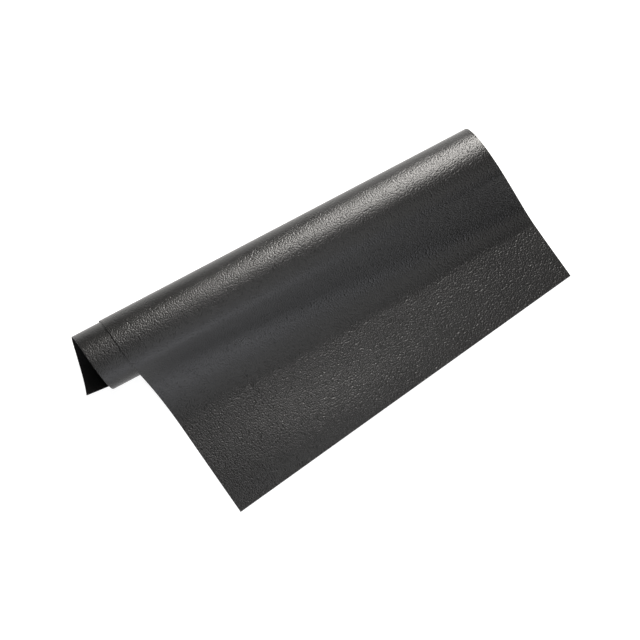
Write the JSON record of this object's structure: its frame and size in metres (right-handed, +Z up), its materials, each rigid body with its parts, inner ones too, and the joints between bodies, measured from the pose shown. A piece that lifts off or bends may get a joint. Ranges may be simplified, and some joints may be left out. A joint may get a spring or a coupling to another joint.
{
  "type": "esd floor mat",
  "caption": "Oblong black rubber anti-static floor mat, its front part lying flat and its far end rolled loosely under itself.",
  "frame": {"origin": "on the floor, under the middle of the box round the mat as it lies", "axes": "+X along the roll towards the side where the flap reaches furthest out, +Y back from the flat flap to the roll, +Z up from the floor"},
  "size_m": [1.0746, 0.515, 0.1217],
  "materials": {
    "mat_rubber": "satin, embossed with a fine pebble grain"
  },
  "bodies": {
    "root": {"mat_sheet": "mat_rubber"}
  },
  "joints": []
}
